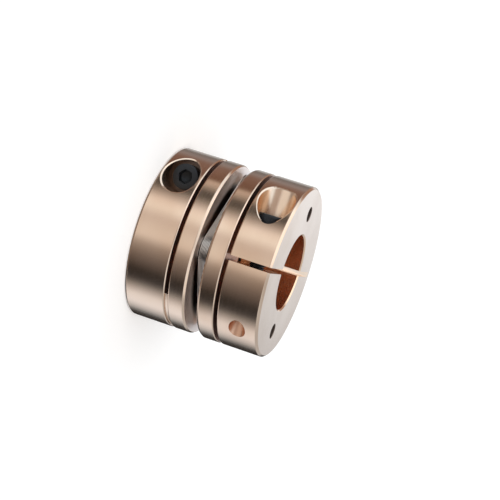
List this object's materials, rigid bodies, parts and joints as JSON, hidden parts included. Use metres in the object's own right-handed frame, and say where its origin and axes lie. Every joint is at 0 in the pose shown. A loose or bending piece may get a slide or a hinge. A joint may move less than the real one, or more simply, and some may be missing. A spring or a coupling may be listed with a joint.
{
  "type": "diaphragm coupling",
  "caption": "Flexible shaft coupling: slit clamp hubs joined by a laminated lobed disc pack, with cross clamp screws and key holes through the end faces.",
  "frame": {"origin": "centre of the lower hub's end face, on the shaft axis, at the bottom of the coupling", "axes": "+Z along the shaft axis from the lower hub to the upper hub; the lower hub's slit is towards -X and the upper hub's slit towards -Y"},
  "size_m": [0.068, 0.068, 0.054],
  "materials": {
    "hub_aluminium": "turned, champagne anodised, satin",
    "black_screw_steel": "black oxide",
    "leaf_steel": "rolled spring steel, stamped edges",
    "washer_steel": "bright, ground flat"
  },
  "bodies": {
    "root": {"lower_hub": "hub_aluminium", "upper_hub": "hub_aluminium", "lower_clamp_screw": "black_screw_steel", "upper_clamp_screw": "black_screw_steel", "disc_leaf_1": "leaf_steel", "disc_leaf_2": "leaf_steel", "disc_leaf_3": "leaf_steel", "disc_leaf_4": "leaf_steel", "disc_leaf_5": "leaf_steel", "disc_leaf_6": "leaf_steel", "pack_screw_1": "black_screw_steel", "pack_screw_2": "black_screw_steel", "pack_screw_3": "black_screw_steel", "pack_screw_4": "black_screw_steel", "head_washer_1": "washer_steel", "head_washer_2": "washer_steel", "head_washer_3": "washer_steel", "head_washer_4": "washer_steel", "hub_spacer_1": "washer_steel", "hub_spacer_2": "washer_steel", "hub_spacer_3": "washer_steel", "hub_spacer_4": "washer_steel"}
  },
  "joints": []
}
